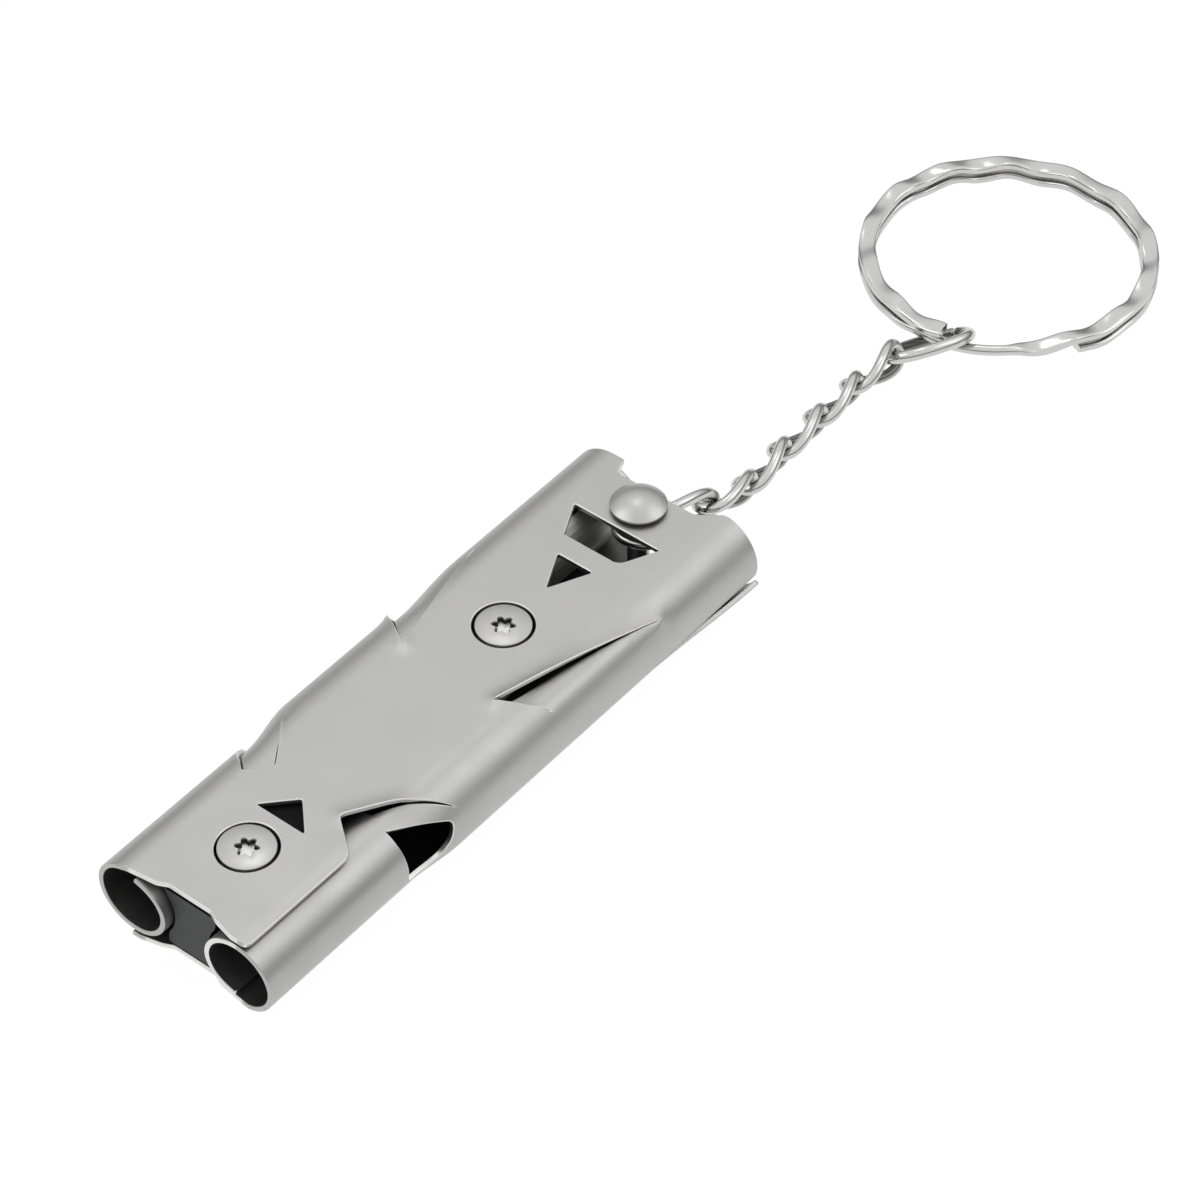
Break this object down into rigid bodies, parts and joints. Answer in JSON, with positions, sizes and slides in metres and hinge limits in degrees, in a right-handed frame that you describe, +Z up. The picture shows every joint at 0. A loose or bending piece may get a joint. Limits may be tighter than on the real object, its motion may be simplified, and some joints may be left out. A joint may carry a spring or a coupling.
{
  "type": "pocket whistle",
  "caption": "Flat twin-tube pocket whistle rolled from sheet steel, with a short twisted chain and a split ring riveted to one end.",
  "frame": {"origin": "middle of the body's flat underside, half way between its mouth end and its chain end", "axes": "+X along the body from the mouth end to the chain end, +Y to its left, +Z up out of the plate with the screw heads"},
  "size_m": [0.1264, 0.0284, 0.0096],
  "materials": {
    "satin_steel": "bead-blasted stainless sheet with bright worn edges",
    "polished_steel": "bright round wire and strip",
    "screw_steel": "fine satin",
    "dark_plastic": "moulded, matt",
    "black_plastic": "moulded, matt"
  },
  "bodies": {
    "whistle": {"body_shell": "satin_steel", "core": "dark_plastic", "windway_plug_left": "black_plastic", "windway_plug_right": "black_plastic", "inner_wall_left": "satin_steel", "inner_wall_right": "satin_steel", "end_plug_left": "satin_steel", "end_plug_right": "satin_steel", "screw_front": "screw_steel", "screw_rear": "screw_steel", "sleeve_nut_front": "screw_steel", "sleeve_nut_rear": "screw_steel", "rivet": "screw_steel"},
    "link_1": {"chain_link_1": "polished_steel"},
    "link_2": {"chain_link_2": "polished_steel"},
    "link_3": {"chain_link_3": "polished_steel"},
    "link_4": {"chain_link_4": "polished_steel"},
    "link_5": {"chain_link_5": "polished_steel"},
    "link_6": {"chain_link_6": "polished_steel"},
    "link_7": {"chain_link_7": "polished_steel"},
    "loop": {"end_loop": "polished_steel"},
    "ring": {"split_ring": "polished_steel"}
  },
  "joints": [
    {"name": "link_1_swing", "type": "hinge", "parent": "whistle", "child": "link_1", "pos_m": [0.0274, 0, 0.0057], "axis": [0, 0, 1], "range_deg": [-14, 20]},
    {"name": "link_2_nod", "type": "hinge", "parent": "link_1", "child": "link_2", "pos_m": [0.02985, 0, 0.0057], "axis": [0.3746, 0.9272, 0], "range_deg": [-20, 17]},
    {"name": "link_3_swing", "type": "hinge", "parent": "link_2", "child": "link_3", "pos_m": [0.03482, -0.00201, 0.00408], "axis": [0.2367, -0.0124, 0.9715], "range_deg": [-30, 1]},
    {"name": "link_4_nod", "type": "hinge", "parent": "link_3", "child": "link_4", "pos_m": [0.04025, -0.00229, 0.00275], "axis": [-0.0523, 0.9986, 0], "range_deg": [-6, 22]},
    {"name": "link_5_swing", "type": "hinge", "parent": "link_4", "child": "link_5", "pos_m": [0.04584, -0.002, 0.00275], "axis": [0, 0, 1], "range_deg": [-18, 20]},
    {"name": "link_6_nod", "type": "hinge", "parent": "link_5", "child": "link_6", "pos_m": [0.05144, -0.0019, 0.00275], "axis": [-0.0174, 0.9998, 0], "range_deg": [-18, 15]},
    {"name": "link_7_swing", "type": "hinge", "parent": "link_6", "child": "link_7", "pos_m": [0.05704, -0.0018, 0.00275], "axis": [0, 0, 1], "range_deg": [-11, 22]},
    {"name": "loop_nod", "type": "hinge", "parent": "link_7", "child": "loop", "pos_m": [0.06262, -0.00229, 0.00275], "axis": [0.4384, 0.8988, 0], "range_deg": [-15, 15]},
    {"name": "ring_flap", "type": "hinge", "parent": "loop", "child": "ring", "pos_m": [0.06741, -0.00463, 0.00245], "axis": [-0.1564, 0.9877, 0], "range_deg": [-85, 35]}
  ]
}
